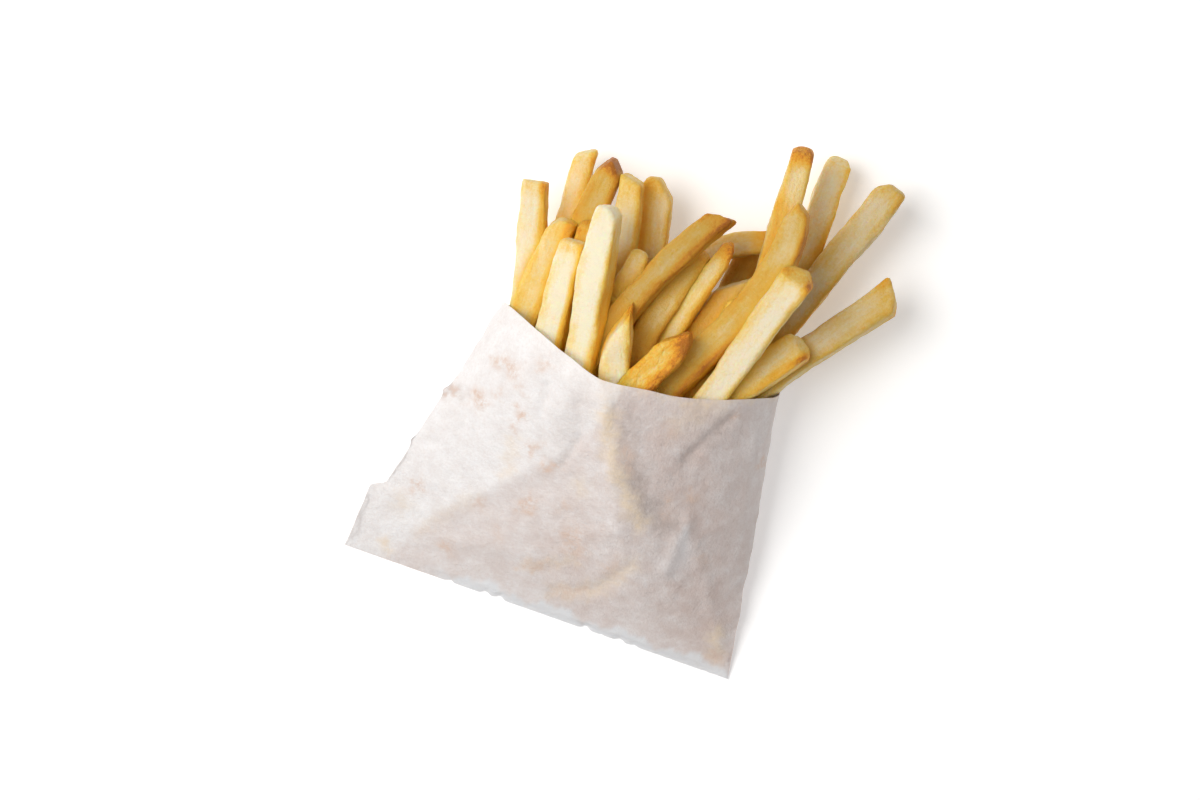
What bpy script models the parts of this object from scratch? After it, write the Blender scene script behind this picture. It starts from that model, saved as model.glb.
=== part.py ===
"""Thin-cut fries in a small white paper bag that lies on its back.

X runs across the bag, Y from its bottom seam to its mouth, and Z up from the surface it lies on.
The bag is one folded sheet, drawn as paper of fixed length that bulges over its contents. The
fries are one bundle: a core inside the bag, with every fry that leaves the mouth fused to it.
"""

import math
from typing import NamedTuple

import bmesh
import bpy
import numpy as np

MM = 0.001

# The bag, as flat paper and as it lies when full
BAG_WIDTH = 114 * MM
FRONT_LENGTH = 83.5 * MM
FLAP = 9 * MM
FLAP_CORNER = 0.03
MOUTH_LEFT = -36 * MM
MOUTH_RIGHT = 43 * MM
RIDGE_X = -4 * MM
RIDGE_AT_SEAM = 0.8
CREASE_HEIGHT = 17 * MM
ARCH_RISE = 32 * MM
LEFT_SHOULDER = (1.35, 1.75)
RIGHT_SHOULDER = (1.5, 2.2)
FLAT_SHARE = 0.78
BULGE = 1.5
SEAM_HEIGHT = 1.5 * MM
SEAM_RUN = 8 * MM
SEAM_THICKNESS = 0.9 * MM
WALL = 0.63 * MM
CREASE_WALL = 1.2 * MM
LARGEST_WALL_SHARE = 0.4

# How finely the bag and the core are drawn
COLUMNS = 28
BAG_RINGS = 17
FIRST_INNER_RING = 2
PAPER_STEPS = 120
CURVE_STEPS = 400

# The core, inside the bag
CORE_START = 0.26
CORE_END = 0.8
CORE_RINGS = 8
CORE_COLUMNS = 12
CORE_CLEARANCE = 2.5 * MM
CORE_SIDE = 11 * MM

# The fries
CHAMFER = 0.24
FRY_STATIONS = (0.0, 0.3, 0.58, 0.8, 0.93, 1.0)
NARROWS_FROM = 0.8
END_CUT_FROM = 0.75
CENTRE_LINE_STEPS = 60

PAPER_COLOUR = (0.86, 0.82, 0.79)
FRY_COLOUR = (0.82, 0.56, 0.2)


class Fry(NamedTuple):
    """One fry: where its tip is, how it runs back into the bag, and how it is cut, in mm and degrees."""

    tip: tuple  # x, y, z of the tip's middle
    lean: float  # heading at the tip, to the right of +Y
    rise: float  # slope upwards towards the tip
    length: float  # of the part that is drawn, from the core to the tip
    side: float = 7.4  # width and height of the cut bar
    bend: float = 0.0  # how much the heading turns from the core to the tip
    roll: float = 0.0  # turn about its own length
    slant: float = 0.0  # of the end cut, positive where the left side is longer
    taper: float = 0.85  # width left at the tip


# From the front of the bag to its back: the top layer under the lip, the ones behind, and those underneath.
TOP_LAYER = (
    Fry((-28.7, 104.0, 25.0), 1, 9, 50, side=7.8, roll=28, slant=-25),
    Fry((-22.8, 99.0, 35.0), -5, 8, 42, side=7.2, roll=12),
    Fry((-16.8, 111.0, 43.0), -8, 9, 54, side=7.8, roll=18, slant=18, taper=0.7),
    Fry((-4.0, 84.5, 42.0), -14, 9, 32, side=7.6, roll=8, slant=-45, taper=0.6),
    Fry((13.4, 86.0, 41.0), 22, 5, 30, side=7.2, roll=5, slant=-15, taper=0.6),
    Fry((30.4, 127.5, 39.0), -4, 5, 76, side=7.8, bend=-26, roll=14, taper=0.55),
    Fry((35.8, 112.0, 41.0), 16, 9, 60, side=7.8, roll=8, slant=-35),
    Fry((43.6, 94.2, 28.0), 36, -4, 48, side=7.8, roll=10, slant=-12),
)
BEHIND = (
    Fry((-39.0, 111.5, 19.5), -16, 0, 56, side=7.2, roll=6, slant=8),
    Fry((-20.9, 106.0, 26.5), -9, 4, 52, side=7.2, roll=4),
    Fry((-29.3, 124.0, 12.5), -5, 6, 70, side=6.8, slant=-30),
    Fry((-20.5, 124.0, 24.5), 5, 12, 72, side=7.2, roll=30, taper=0.4),
    Fry((-15.0, 122.5, 24.5), -11, 7, 74, side=7.4, roll=8, slant=22),
    Fry((-7.0, 123.5, 17.0), -12, 7, 76, side=7.6, roll=4, slant=26),
    Fry((-5.4, 103.2, 30.5), 6, 2, 50, side=6.6, taper=0.6),
    Fry((12.0, 118.5, 37.0), 32, 4, 66, side=6.8, bend=28, roll=10, slant=-30),
    Fry((10.6, 108.3, 29.5), 18, 0, 54, side=7.4, bend=14, roll=6, taper=0.65),
    Fry((16.6, 112.3, 30.5), 16, 6, 58, side=7.0, bend=4, roll=4, taper=0.45),
    Fry((27.2, 117.6, 16.5), 72, 1, 66, side=6.8, bend=70),
    Fry((22.2, 106.0, 24.5), 17, 2, 50, side=6.8, slant=-40),
    Fry((60.6, 116.5, 17.5), 34, -5, 74, side=8.0, roll=4, slant=40),
    Fry((52.8, 141.5, 15.0), 20, 2, 86, side=7.4, bend=3, roll=4, slant=-30),
    Fry((37.8, 146.0, 9.0), 0, 1, 86, side=7.2, bend=-12, taper=0.7),
    Fry((26.4, 143.0, 27.0), -5, 7, 84, side=6.8, bend=-4, taper=0.6),
)
UNDERNEATH = (
    Fry((-14.5, 99.0, 8.0), -2, 0, 44),
    Fry((-15.5, 101.0, 16.5), -4, 1, 46),
    Fry((-7.5, 100.0, 8.0), -3, 1, 44),
    Fry((1.5, 97.0, 24.0), 4, 1, 42),
    Fry((14.5, 99.0, 6.5), 4, 0, 44),
    Fry((20.0, 99.0, 14.0), -2, 0, 44),
    Fry((23.5, 98.0, 28.0), 10, 3, 42),
    Fry((27.0, 105.0, 6.0), 0, 0, 50),
)


def even_curve(x, z):
    """The points of a curve, at even shares of its own length."""
    run = np.concatenate([[0], np.cumsum(np.hypot(np.diff(x), np.diff(z)))])
    share = np.linspace(0, 1, COLUMNS + 1) * run[-1]
    return np.interp(share, run, x), np.interp(share, run, z)


def mouth_arch():
    """The front lip seen from the mouth: a lopsided arch over the fries, from crease to crease."""
    x = MOUTH_LEFT + (MOUTH_RIGHT - MOUTH_LEFT) * (1 - np.cos(np.linspace(0, math.pi, CURVE_STEPS))) / 2
    left = x < RIDGE_X
    off = np.abs(x - RIDGE_X) / np.where(left, RIDGE_X - MOUTH_LEFT, MOUTH_RIGHT - RIDGE_X)
    power = np.where(left, LEFT_SHOULDER[0], RIGHT_SHOULDER[0])
    root = np.where(left, LEFT_SHOULDER[1], RIGHT_SHOULDER[1])
    z = CREASE_HEIGHT + ARCH_RISE * np.clip(1 - off**power, 0, 1) ** (1 / root)
    return even_curve(x, z)


def mouth_floor():
    """The back panel seen from the mouth: flat on the table, and curled up at both creases."""
    x = np.linspace(MOUTH_LEFT, MOUTH_RIGHT, CURVE_STEPS)
    middle = (MOUTH_LEFT + MOUTH_RIGHT) / 2
    off = np.abs(x - middle) / (MOUTH_RIGHT - middle)
    z = CREASE_HEIGHT * (np.clip(off - FLAT_SHARE, 0, 1) / (1 - FLAT_SHARE)) ** 2
    return even_curve(x, z)


def panel(mouth, lengths, side, ridge_at_seam, ridge_at_mouth):
    """Columns of points from the bottom seam to the mouth of one panel, as an array of rings x columns x 3.

    The paper keeps its length: what a column spends on rising and on moving across, it lacks along Y.
    The highest line of the panel wanders from one share of its width at the seam to another at the mouth.
    side is 1 for the front panel and -1 for the back one, half a seam's thickness apart at the seam.
    """
    share = np.linspace(0, 1, COLUMNS + 1)
    mouth_x, mouth_z = mouth
    columns = []
    for column, length in enumerate(lengths):
        run = np.linspace(0, length, PAPER_STEPS)
        along = np.clip(run / FRONT_LENGTH, 0, 1)
        x = (share[column] - 0.5) * BAG_WIDTH * (1 - along) + mouth_x[column] * along
        near_seam = np.clip(1 - run / SEAM_RUN, 0, 1) ** 2
        lip = side * SEAM_THICKNESS / 2 * (0 < column < COLUMNS)
        ridge = ridge_at_seam + (ridge_at_mouth - ridge_at_seam) * along
        left = share[column] / ridge * ridge_at_mouth
        right = 1 - (1 - share[column]) / (1 - ridge) * (1 - ridge_at_mouth)
        fullness = np.interp(np.where(share[column] < ridge, left, right), share, mouth_z)
        z = fullness * (1 - (1 - along) ** BULGE) + (SEAM_HEIGHT + lip) * near_seam
        spent = np.diff(x) ** 2 + np.diff(z) ** 2
        y = np.concatenate([[0], np.cumsum(np.sqrt(np.maximum(np.diff(run) ** 2 - spent, 0)))])
        stops = np.linspace(0, length, BAG_RINGS)
        columns.append(np.stack([np.interp(stops, run, axis) for axis in (x, y, z)], axis=-1))
    return np.stack(columns, axis=1)


def bag_panels():
    """The bag's outer surface, as its front panel and its back one, which ends in a flap above the lip."""
    share = np.linspace(0, 1, COLUMNS + 1)
    corner = np.clip(np.minimum(share, 1 - share) / FLAP_CORNER, 0, 1)
    arch = mouth_arch()
    front = panel(arch, np.full(COLUMNS + 1, FRONT_LENGTH), 1, RIDGE_AT_SEAM, share[arch[1].argmax()])
    back = panel(mouth_floor(), FRONT_LENGTH + FLAP * corner, -1, 0.5, 0.5)
    return front, back


def joined(front, back):
    """Rings that run along the front panel from left to right, and back along the other one."""
    return np.concatenate([front, back[:, COLUMNS - 1 : 0 : -1]], axis=1)


def lining(front, back):
    """The two panels drawn in towards each other and off the creases, so that a wall's thickness is left."""
    step = np.minimum(LARGEST_WALL_SHARE * (front[..., 2] - back[..., 2]), WALL)
    middle = (front[:, :1, 0] + front[:, -1:, 0]) / 2
    inset = 1 - CREASE_WALL / (front[:, -1:, 0] - middle)
    inner = []
    for outer, way in ((front, -1), (back, 1)):
        x = middle + (outer[..., 0] - middle) * inset
        inner.append(np.stack([x, outer[..., 1], outer[..., 2] + way * step], axis=-1))
    return inner


def ladder_cap(bm, ring):
    """Closes a flat, wide ring with rungs from its front half to its back half."""
    half = len(ring) // 2
    bm.faces.new((ring[0], ring[1], ring[-1]))
    for j in range(1, half - 1):
        bm.faces.new((ring[j], ring[j + 1], ring[-j - 1], ring[-j]))
    bm.faces.new((ring[half - 1], ring[half], ring[half + 1]))


def loft(name, rings, cap, material):
    """A closed solid through rings of points, each with the same count, with both ends capped."""
    bm = bmesh.new()
    made = [[bm.verts.new(point) for point in ring] for ring in rings]
    for ring, following in zip(made[:-1], made[1:]):
        for j in range(len(ring)):
            k = (j + 1) % len(ring)
            bm.faces.new((ring[j], ring[k], following[k], following[j]))
    for end in (made[0], made[-1]):
        cap(bm, end)
    bmesh.ops.recalc_face_normals(bm, faces=bm.faces)
    mesh = bpy.data.meshes.new(name)
    bm.to_mesh(mesh)
    bm.free()
    mesh.materials.append(material)
    made_object = bpy.data.objects.new(name, mesh)
    bpy.context.scene.collection.objects.link(made_object)
    return made_object


def band_cap(bm, ring):
    """Closes a ring whose front half and back half have the same number of points."""
    last = len(ring) - 1
    for j in range(len(ring) // 2 - 1):
        bm.faces.new((ring[j], ring[j + 1], ring[last - j - 1], ring[last - j]))


def face_cap(bm, ring):
    """Closes a ring with one face."""
    bm.faces.new(ring)


def paper_bag(material):
    """The bag: the outer surface up to the mouth, then the inner one back down to just above the seam."""
    panels = bag_panels()
    inner = joined(*lining(*panels))[FIRST_INNER_RING:]
    return loft("paper_bag", np.concatenate([joined(*panels), inner[::-1]]), ladder_cap, material)


def bag_core(material):
    """What fills the closed part of the bag, clear of its paper."""
    places = np.linspace(CORE_START, CORE_END, CORE_RINGS) * (BAG_RINGS - 1)
    before = places.astype(int)
    part = (places - before)[:, None, None]
    front, back = (rings[before] * (1 - part) + rings[before + 1] * part for rings in bag_panels())
    rings = []
    for above, below in zip(front, back):
        x = np.linspace(above[0, 0] + CORE_SIDE, above[-1, 0] - CORE_SIDE, CORE_COLUMNS + 1)
        top = np.stack([x, np.interp(x, above[:, 0], above[:, 1]), np.interp(x, above[:, 0], above[:, 2])], axis=-1)
        base = np.stack([x, top[:, 1], np.interp(x, below[:, 0], below[:, 2])], axis=-1)
        top[:, 2] -= CORE_CLEARANCE
        base[:, 2] += CORE_CLEARANCE
        rings.append(np.concatenate([top, base[::-1]]))
    return loft("core", rings, band_cap, material)


def fry_section(fry):
    """The eight corners of the bar's section, across and up, with its long edges chamfered and the bar rolled."""
    half = fry.side / 2 * MM
    cut = half * (1 - 2 * CHAMFER)
    right = [(cut, -half), (half, -cut), (half, cut), (cut, half)]
    corners = np.array(right + [(-across, -up) for across, up in right])
    roll = math.radians(fry.roll)
    turn = np.array([[math.cos(roll), -math.sin(roll)], [math.sin(roll), math.cos(roll)]])
    return corners @ turn.T


def fry_rings(fry):
    """Rings along one fry from its hidden end to its tip."""
    tip = np.array(fry.tip) * MM
    length = fry.length * MM
    steps = CENTRE_LINE_STEPS
    back = (np.arange(steps) + 0.5) / steps
    heading = np.radians(fry.lean - fry.bend * back)
    rise = math.radians(fry.rise)
    ways = np.stack(
        [np.sin(heading) * math.cos(rise), np.cos(heading) * math.cos(rise), np.full(steps, math.sin(rise))], axis=-1
    )
    line = tip - np.concatenate([[[0, 0, 0]], np.cumsum(ways, axis=0)]) * length / steps
    section = fry_section(fry)
    rings = []
    for share in FRY_STATIONS:
        at = (1 - share) * steps
        centre = np.array([np.interp(at, np.arange(steps + 1), line[:, axis]) for axis in range(3)])
        way = ways[min(int(at), steps - 1)]
        right = np.cross(way, (0, 0, 1))
        right /= np.linalg.norm(right)
        up = np.cross(right, way)
        near_tip = max(0.0, share - NARROWS_FROM) / (1 - NARROWS_FROM)
        points = section * (1 - (1 - fry.taper) * near_tip**2)
        end_cut = -points[:, 0] * math.tan(math.radians(fry.slant))
        end_cut *= max(0.0, share - END_CUT_FROM) / (1 - END_CUT_FROM)
        rings.append(centre + points[:, :1] * right + points[:, 1:] * up + end_cut[:, None] * way)
    return rings


def keep_largest_body(mesh):
    """Drops loose scraps and the walls of sealed hollows, so that one solid body is left."""
    bm = bmesh.new()
    bm.from_mesh(mesh)
    unseen = set(bm.verts)
    bodies = []
    while unseen:
        body, edge_of_search = set(), [unseen.pop()]
        while edge_of_search:
            vert = edge_of_search.pop()
            body.add(vert)
            linked = {edge.other_vert(vert) for edge in vert.link_edges} & unseen
            unseen -= linked
            edge_of_search.extend(linked)
        bodies.append(body)
    largest = max(bodies, key=len)
    bmesh.ops.delete(bm, geom=[vert for vert in bm.verts if vert not in largest], context="VERTS")
    bmesh.ops.triangulate(bm, faces=bm.faces)
    bm.to_mesh(mesh)
    bm.free()


def fry_bundle(material):
    """The core with every fry fused to it by one Boolean union."""
    bundle = bag_core(material)
    loose = bpy.data.collections.new("loose_fries")
    bpy.context.scene.collection.children.link(loose)
    for index, fry in enumerate(TOP_LAYER + BEHIND + UNDERNEATH):
        piece = loft(f"fry_{index:02d}", fry_rings(fry), face_cap, material)
        bpy.context.scene.collection.objects.unlink(piece)
        loose.objects.link(piece)
    union = bundle.modifiers.new("fuse", "BOOLEAN")
    union.operation = "UNION"
    union.operand_type = "COLLECTION"
    union.collection = loose
    union.solver = "EXACT"
    graph = bpy.context.evaluated_depsgraph_get()
    fused = bpy.data.meshes.new_from_object(bundle.evaluated_get(graph))
    bundle.modifiers.clear()
    bundle.data = fused
    bundle.name = fused.name = "fries"
    keep_largest_body(fused)
    for piece in list(loose.objects):
        bpy.data.objects.remove(piece)
    bpy.data.collections.remove(loose)
    return bundle


def centre_on_floor(objects):
    """Moves the meshes so that the origin is the middle of the whole box's underside."""
    points = np.array([vert.co for made in objects for vert in made.data.vertices])
    low, high = points.min(axis=0), points.max(axis=0)
    for made in objects:
        for vert in made.data.vertices:
            vert.co.x -= (low[0] + high[0]) / 2
            vert.co.y -= (low[1] + high[1]) / 2
            vert.co.z -= low[2]


def surface(name, colour, roughness):
    """A plain, non-metallic material."""
    material = bpy.data.materials.new(name)
    material.use_nodes = True
    shader = material.node_tree.nodes["Principled BSDF"]
    shader.inputs["Base Color"].default_value = (*colour, 1)
    shader.inputs["Roughness"].default_value = roughness
    shader.inputs["Metallic"].default_value = 0
    material.diffuse_color = (*colour, 1)
    return material


def main():
    """Clears the scene and builds the bag and its fries."""
    for old in list(bpy.data.objects):
        bpy.data.objects.remove(old)
    bag = paper_bag(surface("greaseproof_paper", PAPER_COLOUR, 0.7))
    fries = fry_bundle(surface("fried_potato", FRY_COLOUR, 0.5))
    centre_on_floor((bag, fries))


main()
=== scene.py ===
"""Looks of thin-cut french fries in a small greaseproof paper bag that lies on its back.

Sizes and places are in millimetres, measured from the middle of the bag's bottom seam: X runs across the
bag, Y from the seam to the mouth, and Z up from the table. The frame says where that seam lies.
"""

import logging
import math
from dataclasses import dataclass
from enum import Enum

import bpy
import numpy as np
from mathutils import Matrix, Vector
from mathutils.bvhtree import BVHTree

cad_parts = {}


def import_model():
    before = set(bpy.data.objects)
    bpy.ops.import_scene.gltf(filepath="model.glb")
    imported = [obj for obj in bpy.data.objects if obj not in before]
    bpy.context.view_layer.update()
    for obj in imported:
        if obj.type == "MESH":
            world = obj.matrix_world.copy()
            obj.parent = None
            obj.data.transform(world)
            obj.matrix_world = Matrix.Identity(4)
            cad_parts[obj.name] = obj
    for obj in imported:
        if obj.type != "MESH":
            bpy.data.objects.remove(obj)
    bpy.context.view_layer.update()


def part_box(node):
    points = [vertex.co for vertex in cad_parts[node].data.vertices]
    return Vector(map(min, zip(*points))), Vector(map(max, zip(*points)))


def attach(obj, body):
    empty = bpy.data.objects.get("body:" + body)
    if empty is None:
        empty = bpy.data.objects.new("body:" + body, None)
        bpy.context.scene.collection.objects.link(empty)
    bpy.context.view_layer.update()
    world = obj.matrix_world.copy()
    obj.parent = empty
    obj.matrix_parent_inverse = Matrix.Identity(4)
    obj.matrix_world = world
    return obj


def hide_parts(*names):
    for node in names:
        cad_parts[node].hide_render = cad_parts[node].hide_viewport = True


MM = 0.001
LOG = logging.getLogger("fries")

Point = tuple[float, float, float]
Colour = tuple[float, float, float]
Span = tuple[float, float, float, float]
Socket = bpy.types.NodeSocket


def select_only(piece: bpy.types.Object) -> None:
    """Makes a piece the only selected object, and the active one.

    Args:
        piece: The object to select.
    """
    bpy.ops.object.select_all(action="DESELECT")
    piece.select_set(True)
    bpy.context.view_layer.objects.active = piece


def finish_with(piece: bpy.types.Object, kind: str, **settings: object) -> None:
    """Adds one modifier to a piece and applies it.

    Args:
        piece: The object to change.
        kind: The modifier's type, such as SOLIDIFY.
        **settings: The modifier's settings by name.
    """
    select_only(piece)
    modifier = piece.modifiers.new(kind.title(), kind)
    for name, value in settings.items():
        setattr(modifier, name, value)
    bpy.ops.object.modifier_apply(modifier=modifier.name)


def positions(piece: bpy.types.Object) -> np.ndarray:
    """Reads a mesh's points.

    Args:
        piece: The mesh object.

    Returns:
        Its vertices as rows of x, y and z, in metres.
    """
    flat = np.empty(len(piece.data.vertices) * 3, np.float32)
    piece.data.vertices.foreach_get("co", flat)
    return flat.reshape(-1, 3).astype(float)


def set_positions(piece: bpy.types.Object, points: np.ndarray) -> None:
    """Writes a mesh's points, given as rows of x, y and z in metres."""
    piece.data.vertices.foreach_set("co", points.astype(np.float32).ravel())
    piece.data.update()


def paint(piece: bpy.types.Object, name: str, channels: list[np.ndarray]) -> None:
    """Stores three values for each vertex as a colour attribute that a material reads.

    Args:
        piece: The mesh object.
        name: The attribute's name.
        channels: Three arrays with one value for each vertex.
    """
    layer = piece.data.attributes.new(name, "FLOAT_COLOR", "POINT")
    values = np.stack([*channels, np.ones(len(channels[0]))], axis=-1)
    layer.data.foreach_set("color", values.astype(np.float32).ravel())


def uneven(piece: bpy.types.Object, pattern: str, grain: float, depth: float, **settings: object) -> None:
    """Displaces a piece's surface by one of Blender's own solid patterns.

    Args:
        piece: The mesh object.
        pattern: CLOUDS for soft lumps or VORONOI for crisp facets.
        grain: The size of the pattern, in mm.
        depth: How far the highest point stands over the lowest one, in mm.
        **settings: More settings of the Displace modifier.
    """
    texture = bpy.data.textures.new(f"{piece.name}_{pattern.lower()}", pattern)
    texture.noise_scale = grain * MM
    finish_with(piece, "DISPLACE", texture=texture, strength=depth * MM, mid_level=0.5, **settings)
    bpy.data.textures.remove(texture)


def smooth_step(value: np.ndarray) -> np.ndarray:
    """Eases values from 0 to 1, and cuts off what lies beyond."""
    held = np.clip(value, 0, 1)
    return held * held * (3 - 2 * held)


def plateau(value: np.ndarray, start: float, rising: float, end: float, falling: float) -> np.ndarray:
    """Eases values from 0 at the start up to 1, and back down to 0 at the end."""
    return smooth_step((value - start) / rising) * smooth_step((end - value) / falling)


class Recipe:
    """A material that is put together one node at a time around one Principled shader.

    The Mix node's colour sockets share their names with its other sockets, so they go by number.
    """

    UNDER, OVER, MIXED = 6, 7, 2

    def __init__(self, name: str) -> None:
        """Starts a material.

        Args:
            name: The material's name.
        """
        self.material = bpy.data.materials.new(name)
        self.material.use_nodes = True
        self.tree = self.material.node_tree
        self.shader = self.tree.nodes["Principled BSDF"]
        self.place = self.add("TexCoord").outputs["Object"]

    def feed(self, socket: Socket, value: Socket | float | tuple[float, ...]) -> None:
        """Gives an input its value.

        Args:
            socket: The input.
            value: An output of another node, or a value that stays.
        """
        if isinstance(value, Socket):
            self.tree.links.new(value, socket)
        else:
            socket.default_value = value

    def add(self, kind: str, **inputs: Socket | float) -> bpy.types.Node:
        """Adds one node.

        Args:
            kind: What Blender calls it, after ShaderNode.
            **inputs: The values of its inputs by name.

        Returns:
            The node.
        """
        node = self.tree.nodes.new(f"ShaderNode{kind}")
        for name, value in inputs.items():
            self.feed(node.inputs[name], value)
        return node

    def set(self, **values: float | Colour) -> None:
        """Sets numbers and colours on the shader's own sockets, by name with _ for a space."""
        for name, value in values.items():
            self.shader.inputs[name.replace("_", " ").title().replace("Ior", "IOR")].default_value = value

    def send(self, source: Socket, socket: str) -> None:
        """Leads a value to one of the shader's sockets."""
        self.feed(self.shader.inputs[socket], source)

    def attribute(self, name: str) -> bpy.types.Node:
        """Adds a node that reads an attribute of the mesh.

        Args:
            name: The attribute's name.

        Returns:
            The node.
        """
        node = self.add("Attribute")
        node.attribute_name = name
        return node

    def follow(self, name: str) -> None:
        """Makes the patterns that come next follow places that an attribute holds."""
        self.place = self.attribute(name).outputs["Vector"]

    def noise(self, grain: float, detail: float = 3.0, rough: float = 0.5, stretch: float = 1.0) -> Socket:
        """Adds soft noise.

        Args:
            grain: The size of one lump, in mm.
            detail: How many finer layers it has.
            rough: How strong the finer layers are.
            stretch: How many times as long a lump is along X.

        Returns:
            Its value, from 0 to 1.
        """
        stretched = self.add("VectorMath")
        stretched.operation = "MULTIPLY"
        self.feed(stretched.inputs[0], self.place)
        self.feed(stretched.inputs[1], (1 / stretch, 1, 1))
        place = stretched.outputs["Vector"]
        node = self.add("TexNoise", Vector=place, Scale=1 / (grain * MM), Detail=detail, Roughness=rough)
        return node.outputs["Fac"]

    def painted(self, name: str) -> tuple[Socket, ...]:
        """Reads the three channels of a painted attribute."""
        return tuple(self.add("SeparateColor", Color=self.attribute(name).outputs["Color"]).outputs)

    def sum(self, operation: str, *terms: Socket | float, clamp: bool = False) -> Socket:
        """Adds one arithmetic node.

        Args:
            operation: The Math node's operation, such as MULTIPLY_ADD.
            *terms: Its inputs, as outputs of other nodes or as numbers.
            clamp: Whether the result is held between 0 and 1.

        Returns:
            The result.
        """
        node = self.add("Math")
        node.operation = operation
        node.use_clamp = clamp
        for socket, term in zip(node.inputs, terms):
            self.feed(socket, term)
        return node.outputs["Value"]

    def scaled(self, value: Socket, by: float, plus: Socket | float, clamp: bool = False) -> Socket:
        """Multiplies a value and adds to it, held between 0 and 1 where that is asked for."""
        return self.sum("MULTIPLY_ADD", value, by, plus, clamp=clamp)

    def product(self, one: Socket, other: Socket | float) -> Socket:
        """Multiplies two values."""
        return self.sum("MULTIPLY", one, other)

    def ramp(self, value: Socket, stops: list[tuple[float, Colour]]) -> Socket:
        """Turns a value into a colour.

        Args:
            value: The value to read.
            stops: Values and the colours that they give.

        Returns:
            The colour.
        """
        node = self.add("ValToRGB", Fac=value)
        elements = node.color_ramp.elements
        while len(elements) < len(stops):
            elements.new(0.5)
        for element, (place, colour) in zip(elements, stops):
            element.position = place
            element.color = (*colour, 1)
        return node.outputs["Color"]

    def blend(self, share: Socket, under: Socket | Colour, over: Colour, how: str = "MIX") -> Socket:
        """Lays one colour over another.

        Args:
            share: How much of the upper colour shows.
            under: The lower colour.
            over: The upper colour.
            how: MIX to cover the lower colour, or MULTIPLY to darken it.

        Returns:
            The mixed colour.
        """
        node = self.add("Mix")
        node.data_type = "RGBA"
        node.blend_type = how
        self.feed(node.inputs["Factor"], share)
        for socket, colour in ((self.UNDER, under), (self.OVER, over)):
            self.feed(node.inputs[socket], colour if isinstance(colour, Socket) else (*colour, 1))
        return node.outputs[self.MIXED]

    def bump(self, height: Socket, depth: float, strength: float) -> None:
        """Gives the surface fine relief.

        Args:
            height: The relief, from 0 to 1.
            depth: How deep it is, in mm.
            strength: How much of it shows.
        """
        node = self.add("Bump", Height=height, Distance=depth * MM, Strength=strength)
        self.send(node.outputs["Normal"], "Normal")


@dataclass(frozen=True)
class FriedPotato:
    """The finish of a fry: pale and mealy on its faces, golden at its edges, brown where it is crisp.

    Browning is a number that a ramp turns into a colour. It starts at raw, and every cause adds its share,
    painted shade in the gaps between fries among them. A painted golden glow in the gaps and a painted
    shade over fries that lie low are laid on after the ramp.
    """

    mealy: Colour = (0.955, 0.855, 0.635)
    buttery: Colour = (0.935, 0.75, 0.385)
    golden: Colour = (0.90, 0.60, 0.125)
    amber: Colour = (0.88, 0.455, 0.035)
    toasted: Colour = (0.78, 0.315, 0.02)
    crisp: Colour = (0.55, 0.19, 0.013)
    painted_glow_gold: Colour = (1.0, 0.60, 0.07)
    painted_shade_tint: Colour = (0.68, 0.645, 0.58)
    raw: float = -0.73
    most_painted_glow: float = 0.9

    def material(self) -> bpy.types.Material:
        """Mixes the finish.

        Returns:
            A material that reads the crust attribute (near the tip, near a long edge, how golden all over),
            the fried attribute (a golden side that is partly browning and partly painted shade, a
            blistered skin, painted shade) and the painted_gap_shade attribute (how closed in by other
            fries, laid on as painted shade and a painted golden glow), with a grain along each fry.
        """
        recipe = Recipe("fried_potato")
        recipe.follow("along_fry")
        tip, edge, tone = recipe.painted("crust")
        golden_shaded_side, blister, painted_shade = recipe.painted("fried")
        closed_in, _, _ = recipe.painted("painted_gap_shade")
        patches = recipe.noise(grain=7, detail=4, rough=0.6, stretch=2.2)
        streaks = recipe.noise(grain=1.2, detail=3, rough=0.6, stretch=6)
        flecks = recipe.noise(grain=0.9, detail=4, rough=0.75)
        crinkles = recipe.noise(grain=1.3, detail=3, rough=0.6, stretch=1.8)
        browning = self.raw
        # Among the causes, spots closed in by other fries take a painted shade.
        for cause, share in (
            (patches, 0.58),
            (streaks, 0.34),
            (flecks, 0.46),
            (closed_in, 0.3),
            (tone, 0.5),
            (recipe.product(golden_shaded_side, recipe.scaled(patches, 0.9, 0.1)), 0.75),
            (recipe.product(edge, recipe.scaled(patches, 1.0, -0.1)), 0.4),
            (recipe.product(tip, recipe.scaled(flecks, 1.0, 0.35)), 0.72),
            (recipe.product(blister, recipe.scaled(crinkles, 1.6, -0.45)), 0.6),
        ):
            browning = recipe.scaled(cause, share, browning)
        pale = [(0.0, self.mealy), (0.2, self.buttery), (0.44, self.golden)]
        dark = [(0.68, self.amber), (0.86, self.toasted), (1.0, self.crisp)]
        colour = recipe.ramp(browning, pale + dark)
        # A painted golden glow in the gaps between fries stands for light passing through them.
        painted_glow = recipe.scaled(closed_in, 2.1, -0.32, clamp=True)
        colour = recipe.blend(recipe.product(painted_glow, self.most_painted_glow), colour, self.painted_glow_gold)
        # Painted shade darkens the fries that lie low or in the shade of others.
        colour = recipe.blend(painted_shade, colour, self.painted_shade_tint, "MULTIPLY")
        recipe.send(colour, "Base Color")
        recipe.send(recipe.scaled(patches, 0.3, 0.38), "Roughness")
        relief = recipe.scaled(streaks, 0.5, flecks)
        relief = recipe.scaled(recipe.product(blister, crinkles), 2.0, relief)
        recipe.bump(relief, depth=0.6, strength=0.85)
        recipe.set(subsurface_weight=0.5, subsurface_scale=2.6 * MM, subsurface_radius=(1.0, 0.5, 0.14))
        recipe.set(ior=1.4)
        return recipe.material


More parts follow.
